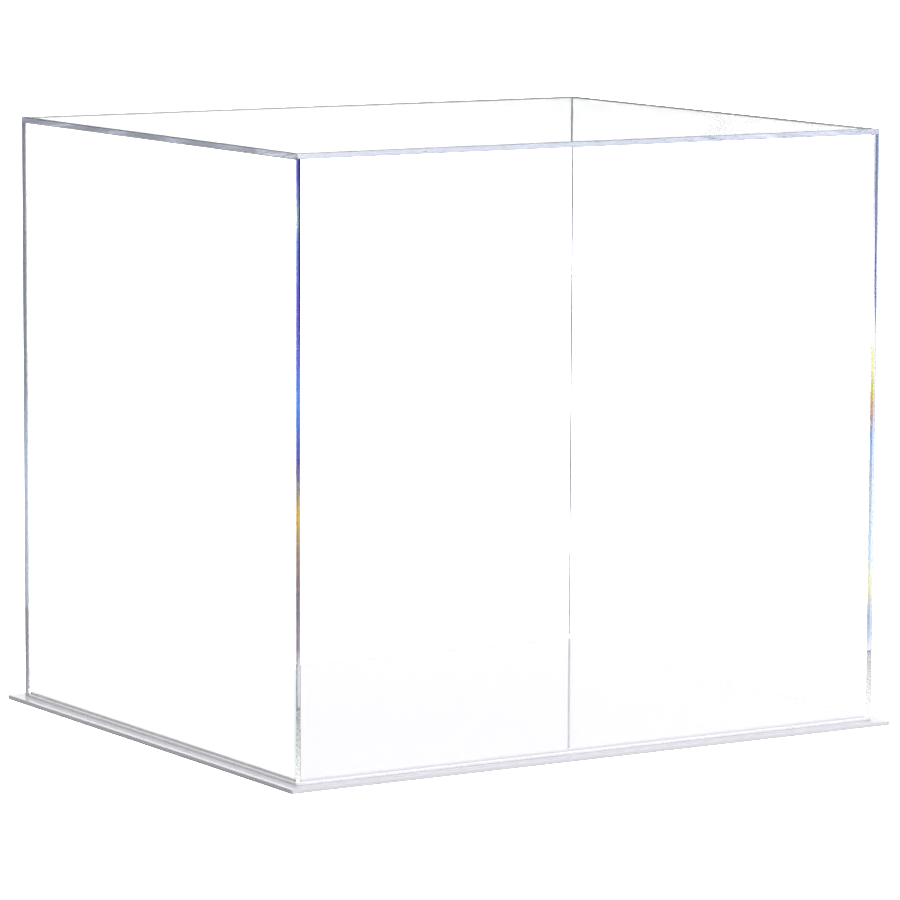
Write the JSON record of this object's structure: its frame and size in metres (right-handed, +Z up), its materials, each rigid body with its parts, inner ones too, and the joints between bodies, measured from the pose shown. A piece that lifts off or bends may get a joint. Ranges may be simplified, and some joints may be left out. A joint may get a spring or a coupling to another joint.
{
  "type": "shoe display box",
  "caption": "Clear acrylic box that lifts off a white flanged base plate and drops over a riser plate, for displaying a pair of boots or shoes.",
  "frame": {"origin": "centre of the base plate's underside, on the surface that the box stands on", "axes": "+Z up, +X along the long side, -Y towards the front"},
  "size_m": [0.416, 0.348, 0.3588],
  "materials": {
    "clear_acrylic": "polished, see-through",
    "white_acrylic": "polished"
  },
  "bodies": {
    "base": {"base_plate": "white_acrylic", "riser_plate": "white_acrylic"},
    "cover": {"front_panel": "clear_acrylic", "back_panel": "clear_acrylic", "left_panel": "clear_acrylic", "right_panel": "clear_acrylic", "top_panel": "clear_acrylic"}
  },
  "joints": [
    {"name": "cover_lift", "type": "slide", "parent": "base", "child": "cover", "axis": [0, 0, 1], "range_m": [0, 0.36]}
  ]
}
